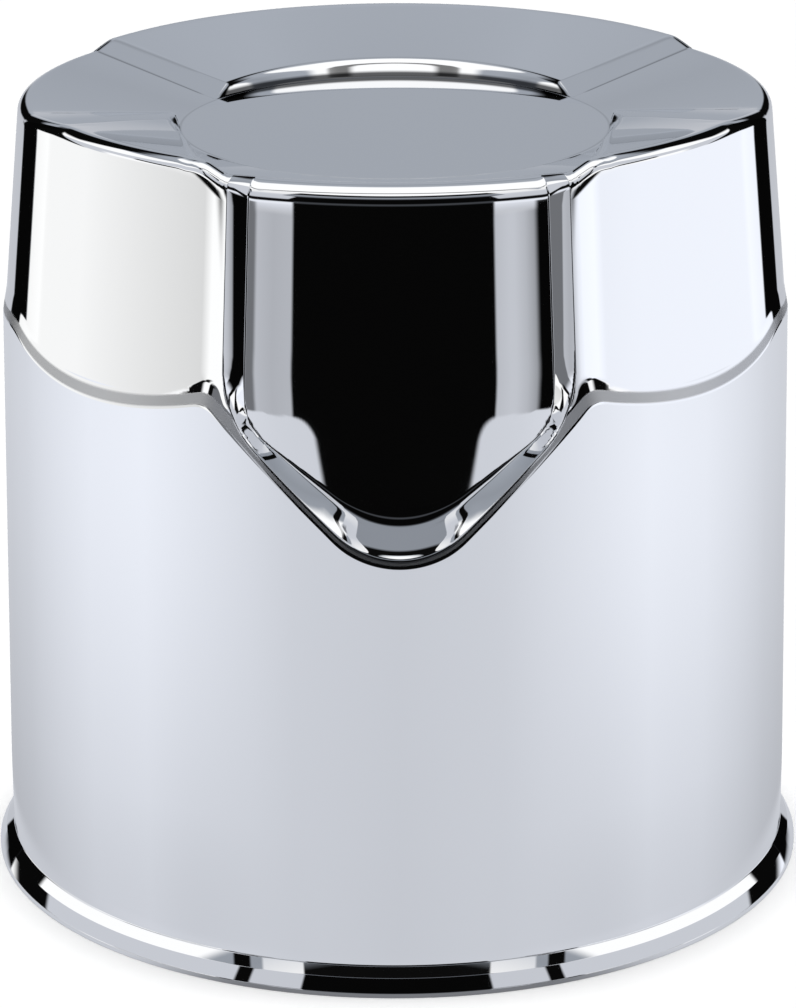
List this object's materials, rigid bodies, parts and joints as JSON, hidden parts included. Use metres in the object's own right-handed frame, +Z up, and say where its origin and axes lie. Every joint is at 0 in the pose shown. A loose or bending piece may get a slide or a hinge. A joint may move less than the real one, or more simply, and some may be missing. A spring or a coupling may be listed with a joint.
{
  "type": "wheel center cap",
  "caption": "Closed push-through center cap for a wheel: hollow round body with a retaining flange, dished crown with raised lobes and a shield-shaped front pocket.",
  "frame": {"origin": "centre of the flange's flat bottom face, on the axis of the round body", "axes": "+Z up the axis from the flange to the crown, -Y towards the front pocket"},
  "size_m": [0.112, 0.112, 0.1076],
  "materials": {
    "chrome": "mirror-bright chrome plating over moulded ABS"
  },
  "bodies": {
    "root": {"cap_shell": "chrome"}
  },
  "joints": []
}
